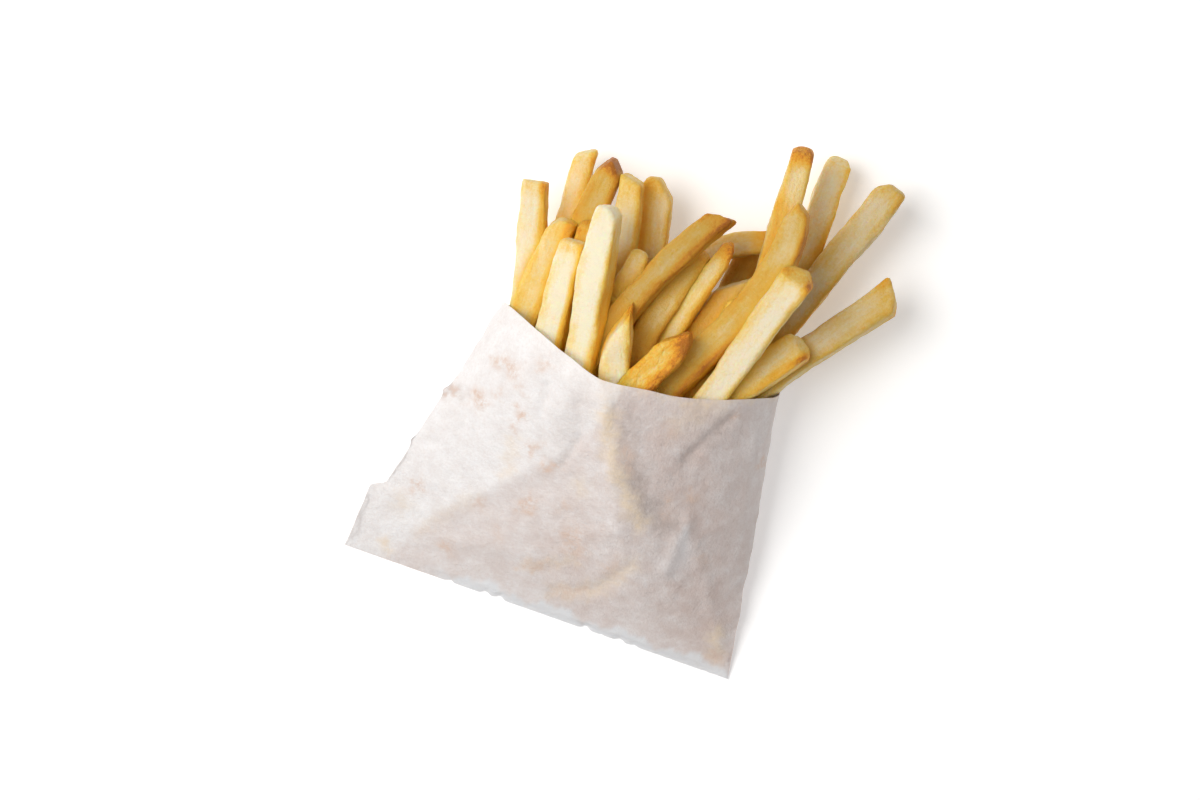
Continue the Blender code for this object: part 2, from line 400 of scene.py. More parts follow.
@dataclass(frozen=True)
class GreaseproofPaper:
    """The finish of the bag: thin mottled white paper with grease stains, painted shade on its right and
    bottom facets and in its creases, and a painted highlight on one fold.
    """

    white: Colour = (0.922, 0.885, 0.872)
    cloudy: Colour = (0.825, 0.767, 0.745)
    warm_shade_and_specks: Colour = (0.665, 0.53, 0.482)
    blush: Colour = (0.73, 0.55, 0.46)
    butter: Colour = (0.85, 0.675, 0.50)
    painted_mauve_shade: Colour = (0.52, 0.435, 0.40)
    frosty_and_highlight: Colour = (0.84, 0.85, 0.87)
    dry_and_highlight_share: float = 0.8

    def material(self) -> bpy.types.Material:
        """Mixes the finish.

        Returns:
            A material that reads the stain_and_shade attribute (buttery grease lines, blushing grease
            spots, painted mauve shade in creases and beside folds) and the facet_shade_and_dry attribute
            (warm painted shade on the right and bottom facets; the dry strip at the seam and a painted
            highlight on one fold).
        """
        recipe = Recipe("greaseproof_paper")
        butter, blush, painted_mauve_shade = recipe.painted("stain_and_shade")
        painted_facet_shade, dry_and_highlight, _ = recipe.painted("facet_shade_and_dry")
        cloud = recipe.noise(grain=6, detail=5, rough=0.7)
        fibre = recipe.noise(grain=0.8, detail=4, rough=0.7)
        colour = recipe.blend(recipe.scaled(cloud, 3.0, -1.1, clamp=True), self.white, self.cloudy)
        # Warm painted shade lies on the right and bottom facets, mottled by the clouds.
        mottled_facet_shade = recipe.product(painted_facet_shade, recipe.scaled(cloud, 1.4, 0.1, clamp=True))
        colour = recipe.blend(mottled_facet_shade, colour, self.warm_shade_and_specks)
        speck = recipe.scaled(fibre, 3.0, -1.35, clamp=True)
        fuzz = recipe.product(speck, recipe.scaled(painted_facet_shade, 0.25, 0.3))
        colour = recipe.blend(fuzz, colour, self.warm_shade_and_specks)
        broken = recipe.scaled(recipe.noise(grain=1.9, detail=4, rough=0.75), 4.6, -1.6, clamp=True)
        soft = recipe.scaled(broken, 0.45, 0.55)
        # The mauve layer is painted shade in creases and beside folds.
        stain_and_shade_layers = ((painted_mauve_shade, soft, self.painted_mauve_shade), (butter, soft, self.butter), (blush, broken, self.blush))
        for amount, edge, stain_and_shade in stain_and_shade_layers:
            colour = recipe.blend(recipe.product(amount, edge), colour, stain_and_shade)
        # The dry seam strip is paler, and so is a painted highlight on one fold.
        colour = recipe.blend(recipe.product(dry_and_highlight, self.dry_and_highlight_share), colour, self.frosty_and_highlight)
        recipe.send(colour, "Base Color")
        recipe.send(recipe.scaled(cloud, 0.2, 0.46), "Roughness")
        crumpled = recipe.noise(grain=4.5, detail=3, rough=0.55)
        creased = recipe.sum("ABSOLUTE", recipe.scaled(crumpled, 2.0, -1.0))
        height = recipe.scaled(creased, -0.9, recipe.product(fibre, 0.65))
        recipe.bump(height, depth=0.5, strength=0.65)
        recipe.set(subsurface_weight=0.25, subsurface_scale=1.0 * MM, subsurface_radius=(1.0, 0.85, 0.75))
        recipe.set(ior=1.45)
        return recipe.material


@dataclass(frozen=True)
class PaleTable:
    """The finish of the surface that the bag lies on."""

    pale: Colour = (0.95, 0.95, 0.95)
    paler: Colour = (0.97, 0.97, 0.97)

    def material(self) -> bpy.types.Material:
        """Mixes the finish.

        Returns:
            A matt, almost even white.
        """
        recipe = Recipe("pale_table")
        cloud = recipe.noise(grain=60, detail=2)
        recipe.send(recipe.blend(cloud, self.pale, self.paler), "Base Color")
        recipe.set(roughness=0.8, emission_color=(1, 1, 1, 1), emission_strength=0.22)
        return recipe.material


class TipCut(Enum):
    """How a fry's end is trimmed: the planes that slice it, beside the slanted one that every end has.

    A plane is given by where it crosses the bar, in half widths to the left of its middle and in widths
    back from its tip, and then by its turn to the right and its tilt upwards in degrees.
    """

    SQUARE = ()
    CHAMFER_LEFT = ((0.3, 0.0, -48, 8),)
    CHAMFER_RIGHT = ((-0.3, 0.0, 48, 8),)
    ROUND = ((0.45, 0.0, -40, 5), (-0.45, 0.0, 40, 5), (0.0, 0.0, 0, 35))
    BLUNT = ((0.3, 0.0, -52, 5), (-0.3, 0.0, 52, 5), (0.0, 0.05, 0, 25))
    POINT_RIGHT = ((-0.75, 0.0, -52, 10),)
    POINT_MIDDLE = ((0.1, 0.0, -60, 8), (-0.1, 0.0, 48, 8))
    THIN_PEAK = ((-0.68, 0.34, -52, 10), (0.3, 0.9, -66, 10), (-0.85, 0.0, 35, 15))
    SHOULDER_RIGHT = ((0.05, 0.0, 54, 6), (0.7, 0.0, -40, 5))


@dataclass(frozen=True)
class Fry:
    """One fry: its tip, how it runs back into the bag, its cut, how it is browned and how much painted
    shade darkens it, in mm and degrees.
    """

    tip: Point
    lean: float
    rise: float
    length: float
    side: float = 7.4
    bend: float = 0.0
    wave: float = 0.0
    roll: float = 0.0
    slant: float = 0.0
    taper: float = 0.9
    cut: TipCut = TipCut.SQUARE
    tone: float = 0.3
    gold_and_shade: float = 0.5
    browned: float = 0.3
    reach: float = 8.0
    blistered: float = 0.0
    painted_shade: float = 0.0

    def centre_line(self, steps: int, beyond: float) -> np.ndarray:
        """Follows the fry from its hidden end to its tip.

        Args:
            steps: How many straight steps the line takes.
            beyond: How far the line goes on straight past the tip, in mm.

        Returns:
            The points of the line, in mm.
        """
        back = (np.arange(steps) + 0.5) / steps
        heading = np.radians(self.lean - self.bend * back + self.wave * np.sin(math.pi * back))
        rise = math.radians(self.rise)
        flat = math.cos(rise)
        climb = np.full(steps, math.sin(rise))
        ways = np.stack([np.sin(heading) * flat, np.cos(heading) * flat, climb], axis=-1)
        behind = np.concatenate([[[0, 0, 0]], np.cumsum(ways, axis=0)]) * self.length / steps
        line = np.array(self.tip) - behind
        return np.concatenate([line[::-1], [np.array(self.tip) + ways[0] * beyond]])


@dataclass
class FryBundle:
    """The fries, each cut from a bar, bent along its own line and browned, then joined into one piece.

    Sizes are in mm. A band is in half widths of the fry: where it starts and how far it eases in. The
    lumps and the pores of the skin are each given by their grain and their depth.
    """

    seam: Vector
    fine_voxel: float = 0.79
    coarse_voxel: float = 1.1
    rounding: int = 5
    rounded_off: float = 1.7
    beyond: float = 8.0
    guide_steps: int = 14
    stations: tuple[float, ...] = (0.2, 0.38, 0.56, 0.72, 0.88, 1.0)
    narrows_from: float = 0.72
    unevenness: float = 0.035
    sway: float = 0.28
    forward: float = 0.9
    end_tilt: float = 6.0
    tip_fade: float = 1.5
    edge_band: tuple[float, float] = (0.15, 0.75)
    golden_shaded_band: tuple[float, float] = (0.45, 0.4)
    gold_and_shade_below: float = 0.4
    grain_apart: Point = (0.31, 0.17, 0.11)
    lumps: tuple[float, float] = (7.0, 0.8)
    pores: tuple[float, float] = (2.6, 0.42)
    blister_rise: float = 0.3
    gap_start: float = 0.5
    gap_reach: float = 7.0
    gap_rays: int = 8
    gap_spread: float = 0.95
    gap_tilts: tuple[float, float] = (0.5, -0.3)
    gap_softness: int = 4

    def bar(self, index: int, fry: Fry, voxel: float) -> bpy.types.Object:
        """Cuts one bar to shape, along X with its tip at the far end.

        Args:
            index: The fry's number, which sets how uneven the bar is.
            fry: The fry to cut.
            voxel: The size of the mesh that its surface gets, in mm.

        Returns:
            The bar, with soft edges.
        """
        chance = np.random.default_rng(index)
        tip = fry.length + self.rounded_off
        length = tip + fry.side / 2 * abs(math.tan(math.radians(fry.slant)))
        places = np.array(self.stations) * length
        bpy.ops.object.select_all(action="DESELECT")
        bpy.ops.mesh.primitive_cube_add(size=1, location=(places[0] / 2 * MM, 0, 0))
        bar = bpy.context.object
        bar.name = f"fry_{index:02d}"
        bar.scale = (places[0] * MM, fry.side * MM, fry.side * MM)
        bpy.ops.object.transform_apply(location=True, rotation=True, scale=True)
        bpy.ops.object.mode_set(mode="EDIT")
        bpy.ops.mesh.select_mode(type="FACE")
        bpy.ops.mesh.select_all(action="DESELECT")
        bpy.ops.object.mode_set(mode="OBJECT")
        for face in bar.data.polygons:
            face.select = face.normal.x > self.forward
        bpy.ops.object.mode_set(mode="EDIT")
        # The bar grows one short length at a time, each a little aside and a little wider or narrower.
        size, middle = np.ones(2), np.zeros(2)
        for start, place in zip(places[:-1], places[1:]):
            sway = chance.normal(0, self.sway, 2)
            middle = middle + sway
            narrowed = np.interp(place / length, [self.narrows_from, 1], [1, fry.taper])
            wanted = narrowed * (1 + chance.normal(0, self.unevenness, 2))
            step = ((place - start) * MM, sway[0] * MM, sway[1] * MM)
            bpy.ops.mesh.extrude_region_move(TRANSFORM_OT_translate={"value": step})
            centre = (place * MM, middle[0] * MM, middle[1] * MM)
            bpy.ops.transform.resize(value=(1, *(wanted / size)), center_override=centre)
            size = wanted
        # Planes slice its tip.
        for across, back, turn, tilt in ((0.0, 0.0, fry.slant, self.end_tilt), *fry.cut.value):
            turned, tilted = math.radians(turn), math.radians(tilt)
            level = math.cos(tilted)
            way = (math.cos(turned) * level, -math.sin(turned) * level, math.sin(tilted))
            point = (tip - back * fry.side, across * fry.side / 2 * fry.taper + middle[0], middle[1])
            bpy.ops.mesh.select_all(action="SELECT")
            bpy.ops.mesh.bisect(plane_co=Vector(point) * MM, plane_no=way, use_fill=True, clear_outer=True)
        bpy.ops.mesh.select_all(action="SELECT")
        bpy.ops.mesh.normals_make_consistent(inside=False)
        bpy.ops.object.mode_set(mode="OBJECT")
        finish_with(bar, "REMESH", mode="VOXEL", voxel_size=voxel * MM, adaptivity=0)
        finish_with(bar, "SMOOTH", factor=0.5, iterations=self.rounding)
        return bar

    def brown_and_shade(self, bar: bpy.types.Object, index: int, fry: Fry) -> None:
        """Paints where the bar is crisp and golden, its golden side that is partly browning and partly
        painted shade, and its painted shade, and stores its straight places for the grain.

        Args:
            bar: The straight bar.
            index: The fry's number, which keeps its grain apart from the others'.
            fry: The fry that it becomes.
        """
        points = positions(bar) / MM
        half = fry.side / 2
        left, up = points[:, 1] / half, points[:, 2] / half
        tip = smooth_step(1 - (fry.length - points[:, 0]) / fry.reach) ** self.tip_fade * fry.browned
        edge_from, edge_ease = self.edge_band
        edge = smooth_step((np.minimum(np.abs(left), np.abs(up)) - edge_from) / edge_ease)
        # The right side and the underside turn golden: partly browning, partly painted shade.
        side_from, side_ease = self.golden_shaded_band
        side = smooth_step((-left - side_from) / side_ease) * fry.gold_and_shade
        side += smooth_step((-up - side_from) / side_ease) * self.gold_and_shade_below
        # The fry's painted shade darkens all of it.
        tone, blister, painted_shade = (np.full(len(points), value) for value in (fry.tone, fry.blistered, fry.painted_shade))
        paint(bar, "crust", [tip, edge, tone])
        paint(bar, "fried", [np.clip(side, 0, 1), blister, painted_shade])
        layer = bar.data.attributes.new("along_fry", "FLOAT_VECTOR", "POINT")
        own = points * MM + index * np.array(self.grain_apart)
        layer.data.foreach_set("vector", own.astype(np.float32).ravel())

    def bend_into_place(self, bar: bpy.types.Object, fry: Fry) -> None:
        """Rolls the bar about its length and bends it along the fry's own line.

        Args:
            bar: The straight bar.
            fry: The fry that it becomes.
        """
        bar.rotation_euler = (math.radians(-fry.roll), 0, 0)
        select_only(bar)
        bpy.ops.object.transform_apply(location=True, rotation=True, scale=True)
        guide = bpy.data.curves.new("guide", "CURVE")
        guide.dimensions = "3D"
        guide.twist_mode = "Z_UP"
        guide.use_deform_bounds = False
        line = fry.centre_line(self.guide_steps, self.beyond) * MM + np.array(self.seam)
        spline = guide.splines.new("POLY")
        spline.points.add(len(line) - 1)
        for point, place in zip(spline.points, line):
            point.co = (*place, 1)
        rail = bpy.data.objects.new("guide", guide)
        bpy.context.scene.collection.objects.link(rail)
        finish_with(bar, "CURVE", object=rail, deform_axis="POS_X")
        bpy.data.objects.remove(rail)
        bpy.data.curves.remove(guide)

    def paint_gap_shade_and_glow(self, bundle: bpy.types.Object) -> None:
        """Paints how closed in each spot is by other fries, for a painted shade and a painted golden glow
        in the gaps.

        Args:
            bundle: The joined fries.
        """
        mesh = bundle.data
        places = positions(bundle)
        normals = np.empty(places.size, dtype=np.float32)
        mesh.vertices.foreach_get("normal", normals)
        normals = normals.reshape(-1, 3)
        tree = BVHTree.FromPolygons(places.tolist(), [tuple(face.vertices) for face in mesh.polygons])
        starts = (places + normals * self.gap_start * MM).tolist()
        met = np.zeros(len(places))
        turns = np.linspace(0, 2 * math.pi, self.gap_rays, endpoint=False)
        tilts = np.where(np.arange(self.gap_rays) % 2, *self.gap_tilts)
        reach = self.gap_reach * MM
        for toward in np.stack([np.cos(turns), np.sin(turns), tilts], axis=-1):
            rays = (normals + toward * self.gap_spread).tolist()
            hits = [tree.ray_cast(start, ray, reach)[0] is not None for start, ray in zip(starts, rays)]
            met += np.array(hits) / self.gap_rays
        edges = np.empty(len(mesh.edges) * 2, dtype=np.int32)
        mesh.edges.foreach_get("vertices", edges)
        one, other = edges.reshape(-1, 2).T
        count = np.bincount(edges, minlength=len(places))
        for _ in range(self.gap_softness):
            total = np.bincount(one, met[other], len(places)) + np.bincount(other, met[one], len(places))
            met = (met + total) / (count + 1)
        paint(bundle, "painted_gap_shade", [met, np.zeros(len(places)), np.zeros(len(places))])

    def build(self, finish: bpy.types.Material) -> bpy.types.Object:
        """Makes every fry and joins them.

        Args:
            finish: The fries' material.

        Returns:
            The joined fries.
        """
        made = []
        for index, fry in enumerate(SHOWN + UNDERNEATH):
            bar = self.bar(index, fry, self.fine_voxel if fry in SHOWN else self.coarse_voxel)
            self.brown_and_shade(bar, index, fry)
            self.bend_into_place(bar, fry)
            uneven(bar, "CLOUDS", *self.lumps)
            grain, depth = self.pores
            uneven(bar, "CLOUDS", grain, depth + self.blister_rise * fry.blistered)
            made.append(bar)
        select_only(made[0])
        for bar in made:
            bar.select_set(True)
        bpy.ops.object.join()
        bundle = bpy.context.object
        bundle.name = bundle.data.name = "potato_sticks"
        bundle.data.materials.clear()
        bundle.data.materials.append(finish)
        bundle.data.shade_smooth()
        self.paint_gap_shade_and_glow(bundle)
        LOG.info("%s: %d fries, %d faces", bundle.name, len(made), len(bundle.data.polygons))
        return bundle


SHOWN = (
    Fry((-29.2, 104.0, 25.0), 1, 9, 50, 8.0, roll=8, slant=-4, cut=TipCut.CHAMFER_LEFT,
        tone=0.5, gold_and_shade=0.55, browned=0.12, reach=4),
    Fry((-22.8, 99.0, 35.0), -5, 8, 39, 7.8, roll=14, slant=3,
        tone=0.1, gold_and_shade=1.0, browned=0.4, reach=4),
    Fry((-16.6, 110.3, 43.0), -8, 9, 54, 8.4, roll=18, slant=-4, taper=0.72, cut=TipCut.CHAMFER_RIGHT,
        tone=0.05, gold_and_shade=1.0, browned=0.2),
    Fry((-6.6, 86.8, 42.0), -19, 9, 34, 8.5, roll=6, slant=-4, taper=1.0, cut=TipCut.THIN_PEAK,
        tone=0.2, browned=1.0, reach=6),
    Fry((12.0, 86.6, 41.0), 22, 5, 30, 8.2, roll=5, taper=0.7, cut=TipCut.POINT_MIDDLE,
        tone=0.6, browned=0.95, reach=9, blistered=0.85),
    Fry((30.3, 128.6, 35.5), -14, 3, 78, 8.6, -22, 30, roll=10, taper=0.78, cut=TipCut.POINT_MIDDLE,
        tone=0.78, gold_and_shade=0.8, browned=0.5, reach=4, painted_shade=0.62),
    Fry((36.9, 111.0, 39.7), 16.5, 9, 57, 8.3, roll=4, slant=-12, taper=1.2, cut=TipCut.ROUND,
        tone=0.2, gold_and_shade=0.7, browned=0.7, reach=5, painted_shade=0.12),
    Fry((43.2, 94.5, 28.0), 36, -4, 48, 9.0, roll=8, taper=1.0, cut=TipCut.ROUND,
        tone=0.5, gold_and_shade=0.7, browned=0.2, painted_shade=0.15),
    Fry((-39.3, 111.5, 19.2), -14, 0, 56, 7.7, roll=6, slant=6,
        tone=0.2, gold_and_shade=0.8, browned=0.35, reach=5, painted_shade=0.08),
    Fry((-20.9, 106.0, 26.5), -9, 4, 52, 7.2, roll=4, cut=TipCut.ROUND,
        tone=0.7, browned=0.5, painted_shade=0.3),
    Fry((-29.3, 124.0, 12.5), -5, 6, 70, 7.0, slant=-26, taper=0.95, cut=TipCut.CHAMFER_LEFT,
        tone=0.2),
    Fry((-20.5, 124.0, 24.5), 5, 12, 72, 8.2, roll=4, cut=TipCut.POINT_MIDDLE,
        tone=0.95, gold_and_shade=0.3, browned=1.0, reach=5, painted_shade=0.7),
    Fry((-13.9, 120.8, 24.5), -11, 7, 72, 8.6, roll=8, slant=24, taper=0.7,
        tone=0.35, gold_and_shade=0.9, browned=0.4, painted_shade=0.15),
    Fry((-6.4, 124.2, 17.0), -12, 7, 76, 8.8, roll=4, cut=TipCut.SHOULDER_RIGHT,
        tone=0.5, browned=0.45, painted_shade=0.25),
    Fry((-5.2, 102.6, 30.5), 6, 2, 50, 6.6, taper=0.8, cut=TipCut.ROUND,
        tone=0.35, painted_shade=0.15),
    Fry((11.0, 118.2, 37.0), 33.5, 4, 66, 7.1, 26, roll=10, slant=-32, cut=TipCut.CHAMFER_LEFT,
        tone=0.78, browned=0.5, painted_shade=1.0),
    Fry((10.0, 108.5, 29.5), 18, 0, 54, 7.4, 14, roll=6, taper=0.75, cut=TipCut.ROUND,
        tone=0.65, browned=0.6, painted_shade=0.6),
    Fry((16.0, 113.2, 30.5), 16, 6, 58, 7.0, 4, roll=4, taper=0.5, cut=TipCut.BLUNT,
        tone=0.45, browned=1.0, painted_shade=0.08),
    Fry((27.2, 117.6, 16.5), 72, 1, 66, 6.8, 70,
        tone=0.5, painted_shade=0.4),
    Fry((22.2, 106.0, 24.5), 17, 2, 50, 6.8, slant=-34, cut=TipCut.POINT_RIGHT,
        tone=0.35, gold_and_shade=0.3, browned=0.2, painted_shade=0.6),
    Fry((62.6, 115.2, 17.5), 36.5, -5, 76, 8.2, roll=10, slant=20, taper=1.15, cut=TipCut.CHAMFER_RIGHT,
        tone=0.36, gold_and_shade=0.3, browned=0.4, painted_shade=0.55),
    Fry((53.8, 142.8, 15.8), 20, 2, 87, 8.4, 3, roll=4, taper=1.0, cut=TipCut.CHAMFER_LEFT,
        tone=0.42, gold_and_shade=0.3, browned=0.25, painted_shade=0.7),
    Fry((38.4, 146.6, 9.8), 0, 1, 87, 7.8, -12, cut=TipCut.ROUND,
        tone=0.34, gold_and_shade=0.4, browned=0.25),
    Fry((27.3, 143.8, 27.0), -5, 7, 84, 7.6, -4, taper=0.8, cut=TipCut.ROUND,
        tone=0.6, browned=1.0, reach=7, painted_shade=0.2),
)
UNDERNEATH = (
    Fry((-14.5, 99.0, 8.0), -2, 0, 44),
    Fry((-15.5, 101.0, 16.5), -4, 1, 46, slant=12),
    Fry((-7.5, 100.0, 8.0), -3, 1, 44, cut=TipCut.CHAMFER_LEFT),
    Fry((1.5, 97.0, 24.0), 4, 1, 42),
    Fry((14.5, 99.0, 6.5), 4, 0, 44, slant=-14),
    # Darkened by painted shade, this fry fills a gap that lies in shade.
    Fry((22.6, 117.5, 9.6), 3, -4, 62, 8.2, cut=TipCut.ROUND, tone=0.95, painted_shade=0.85),
    Fry((25.0, 98.0, 26.0), 10, 3, 42),
    Fry((27.0, 105.0, 6.0), 0, 0, 50, slant=16),
    Fry((-7.0, 88.5, 31.5), 0, 5, 34, tone=0.7),
)


@dataclass(frozen=True)
class Mark:
    """A fold, a stain, a painted shade or a painted highlight that runs along a line on the bag's front,
    seen from above, in mm.
    """

    path: tuple[tuple[float, float], ...]
    width: float
    amount: float

    def felt_at(self, x: np.ndarray, y: np.ndarray) -> np.ndarray:
        """Finds how strongly the mark is felt.

        Args:
            x: Places across the bag.
            y: Places along it.

        Returns:
            Its amount on the line, fading away from it.
        """
        nearest = np.full(x.shape, np.inf)
        ends = self.path if len(self.path) > 1 else self.path * 2
        for (x0, y0), (x1, y1) in zip(ends[:-1], ends[1:]):
            run = max((x1 - x0) ** 2 + (y1 - y0) ** 2, 1e-9)
            along = np.clip(((x - x0) * (x1 - x0) + (y - y0) * (y1 - y0)) / run, 0, 1)
            nearest = np.minimum(nearest, np.hypot(x - x0 - along * (x1 - x0), y - y0 - along * (y1 - y0)))
        return self.amount * np.exp(-((nearest / self.width) ** 2))


def spots(*rows: tuple[float, float, float, float]) -> tuple[Mark, ...]:
    """Makes round marks, each from its place across and along the bag, its width and its amount."""
    return tuple(Mark(((x, y),), width, amount) for x, y, width, amount in rows)


@dataclass
class PaperBag:
    """The bag: one folded sheet, bulging over the fries and flat on the table at its back.

    Sizes are in mm. A span is in shares of the panel's width: where something starts and how far it
    eases in, then where it ends and how far it eases out. A nick is a small fold that sticks out at the
    left crease: how far up it is, how narrow and how long.
    """

    seam: Vector
    width: float = 114.0
    front_length: float = 83.5
    flap: float = 9.0
    flap_corner: float = 0.012
    flap_from: float = 0.12
    flap_left: float = 0.15
    tucked: float = 2.6
    tuck_span: Span = (0.0, 0.03, 0.22, 0.08)
    mouth_left: float = -36.8
    mouth_right: float = 43.0
    ridge_x: float = -4.0
    ridge_at_seam: float = 0.8
    outline_points: int = 600
    crease_height: float = 17.0
    arch_rise: float = 32.0
    left_shoulder: tuple[float, float] = (1.35, 1.75)
    right_shoulder: tuple[float, float] = (1.5, 2.2)
    flat_share: float = 0.78
    bulge: float = 1.5
    facet: float = 0.6
    kink_at: float = 0.53
    kink_height: float = 0.63
    least_kink: float = 0.02
    strip: float = 1.6
    strip_gap: float = 0.6
    seam_height: float = 0.5
    seam_run: float = 8.0
    seam_round: float = 1.2
    teeth: float = 1.2
    teeth_base: float = 0.5
    teeth_reach: float = 3.0
    teeth_span: Span = (0.12, 1 / 8, 0.98, 1 / 18)
    corner_spread: float = 3.8
    corner_top: float = 21.5
    corner_ease: float = 2.5
    corner_slant: float = 1.05
    crease_share: float = 0.14
    nicks: tuple[tuple[float, float, float], ...] = ((51.3, 1.3, 0.9), (35.1, 1.1, 0.7))
    lip_rise: float = 1.8
    lip_span: Span = (0.42, 0.16, 0.97, 0.2)
    fold_ease: float = 10.0
    loose_from: float = 3.0
    loose_ease: float = 12.0
    crumples: tuple[tuple[str, float, float], ...] = (
        ("CLOUDS", 15, 1.1),
        ("VORONOI", 8, 0.5),
        ("CLOUDS", 2.6, 0.22),
    )
    sharp_fold: float = 50.0
    weld: float = 0.01
    paper: float = 0.22
    columns: int = 130
    rows: int = 112

    def even_curve(self, x: np.ndarray, z: np.ndarray) -> tuple[np.ndarray, np.ndarray]:
        """Spaces points evenly along a curve.

        Args:
            x: The curve's places across.
            z: Its heights.

        Returns:
            The places and heights at even shares of its length.
        """
        run = np.concatenate([[0], np.cumsum(np.hypot(np.diff(x), np.diff(z)))])
        share = np.linspace(0, run[-1], self.columns + 1)
        return np.interp(share, run, x), np.interp(share, run, z)

    def mouth_arch(self) -> tuple[np.ndarray, np.ndarray]:
        """Draws the front lip as it is seen from the mouth.

        Returns:
            Its places across and its heights.
        """
        turn = np.linspace(0, math.pi, self.outline_points)
        x = self.mouth_left + (self.mouth_right - self.mouth_left) * (1 - np.cos(turn)) / 2
        left = x < self.ridge_x
        off = np.abs(x - self.ridge_x)
        off = off / np.where(left, self.ridge_x - self.mouth_left, self.mouth_right - self.ridge_x)
        power = np.where(left, self.left_shoulder[0], self.right_shoulder[0])
        root = np.where(left, self.left_shoulder[1], self.right_shoulder[1])
        z = self.crease_height + self.arch_rise * np.clip(1 - off**power, 0, 1) ** (1 / root)
        return self.even_curve(x, z)

    def mouth_floor(self) -> tuple[np.ndarray, np.ndarray]:
        """Draws the back panel as it is seen from the mouth.

        Returns:
            Its places across and its heights.
        """
        x = np.linspace(self.mouth_left, self.mouth_right, self.outline_points)
        middle = (self.mouth_left + self.mouth_right) / 2
        off = np.abs(x - middle) / (self.mouth_right - middle)
        z = self.crease_height * (np.clip(off - self.flat_share, 0, 1) / (1 - self.flat_share)) ** 2
        return self.even_curve(x, z)

    def swelling(self, along: np.ndarray, off_ridge: np.ndarray) -> np.ndarray:
        """Says how far the front has risen at each share of the way to the mouth.

        Args:
            along: Shares of the way from the seam to the lip.
            off_ridge: Shares of the way from the ridge to the nearer crease.

        Returns:
            Shares of the full height: a smooth swell mixed with a sloping facet that ends at a kink.
        """
        smooth = 1 - (1 - along) ** self.bulge
        kink = np.maximum(self.kink_at * (1 - off_ridge), self.least_kink)
        height = self.kink_height * kink / self.kink_at
        beyond = height + (1 - height) * (along - kink) / (1 - kink)
        facet = np.where(along < kink, along / kink * height, beyond)
        return smooth + (facet - smooth) * self.facet * (1 - off_ridge) ** 0.5

    def panel(self, mouth: tuple[np.ndarray, np.ndarray], lengths: np.ndarray, front: bool) -> np.ndarray:
        """Lays out one panel, with the paper's length kept along each column.

        Args:
            mouth: The panel's curve at the mouth.
            lengths: The paper's length along each column.
            front: Whether this is the front panel.

        Returns:
            Points by row from the seam, by column from the left, and by axis, in mm.
        """
        share = np.linspace(0, 1, self.columns + 1)
        mouth_x, mouth_z = mouth
        run = np.linspace(0, 1, self.rows + 1)[:, None] * lengths
        along = np.clip(run / self.front_length, 0, 1)
        x = (share - 0.5) * self.width * (1 - along) + mouth_x * along
        if front:
            ridge_at_mouth = share[mouth_z.argmax()]
            ridge = self.ridge_at_seam + (ridge_at_mouth - self.ridge_at_seam) * along
            is_left = share < ridge
            left = share / ridge
            right = (1 - share) / (1 - ridge)
            warped = np.where(is_left, left * ridge_at_mouth, 1 - right * (1 - ridge_at_mouth))
            fullness = np.interp(warped, share, mouth_z)
            z = fullness * self.swelling(along, 1 - np.where(is_left, left, right))
        else:
            z = mouth_z * (1 - (1 - along) ** self.bulge)
        open_end = np.minimum(share, 1 - share) > 0
        gap = self.strip_gap / 2 * (1 if front else -1) * open_end
        rounded = np.clip(run / self.seam_round, 0, 1) ** 0.5
        z = z * smooth_step(run / (2 * self.strip)) ** 0.5
        z = z + (self.seam_height + gap * rounded) * np.clip(1 - run / self.seam_run, 0, 1) ** 2
        spent = np.diff(x, axis=0) ** 2 + np.diff(z, axis=0) ** 2
        steps = np.sqrt(np.maximum(np.diff(run, axis=0) ** 2 - spent, 0))
        y = np.concatenate([np.zeros((1, self.columns + 1)), np.cumsum(steps, axis=0)])
        return np.stack([x, y, z], axis=-1)

    def folded(self) -> np.ndarray:
        """Folds the whole sheet round its contents.

        Returns:
            Points by row, and by column across the front and back again across the back, in mm.
        """
        share = np.linspace(0, 1, self.columns + 1)
        at_left = smooth_step((share - self.flap_from) / self.flap_left)
        corner = np.minimum(at_left, np.clip((1 - share) / self.flap_corner, 0, 1))
        rise = self.lip_rise * plateau(share, *self.lip_span)
        front = self.panel(self.mouth_arch(), self.front_length + rise, True)
        tuck = self.tucked * plateau(share, *self.tuck_span)
        back = self.panel(self.mouth_floor(), self.front_length + self.flap * corner - tuck, False)
        # Sine waves of unlike lengths give the seam's edge its uneven teeth.
        waves = np.sin(share * 37) * np.sin(share * 17 + 1) + 0.5 * np.sin(share * 143) - 0.4
        frayed = np.clip(waves, 0, 1) * self.teeth * plateau(share, *self.teeth_span) + self.teeth_base
        for sheet in (front, back):
            y = sheet[..., 1]
            reach = np.clip(y / self.corner_top, 0, 1) ** self.corner_slant
            spread = reach * smooth_step((self.corner_top - y) / self.corner_ease) * self.corner_spread
            for place, narrow, length in self.nicks:
                spread += np.exp(-(((y - place) / narrow) ** 2)) * length
            sheet[..., 0] -= spread * smooth_step(1 - share / self.crease_share)
            sheet[..., 1] += frayed * smooth_step(1 - y / self.teeth_reach)
        return np.concatenate([front, back[:, -2::-1]], axis=1)

    def relief(self, sheet: np.ndarray) -> np.ndarray:
        """Presses the folds into the front panel.

        Args:
            sheet: The folded sheet's points, in mm.

        Returns:
            The points after they are moved along the surface's normals.
        """
        down, across = np.gradient(sheet, axis=0), np.gradient(sheet, axis=1)
        normal = np.cross(across, down)
        normal /= np.maximum(np.linalg.norm(normal, axis=-1, keepdims=True), 1e-9)
        front = np.zeros(sheet.shape[:2])
        front[:, : self.columns + 1] = 1
        height = sum(fold.felt_at(sheet[..., 0], sheet[..., 1]) for fold in FOLDS) * front
        away_from_edges = smooth_step(sheet[..., 1] / self.fold_ease)
        return sheet + normal * (height * away_from_edges)[..., None]

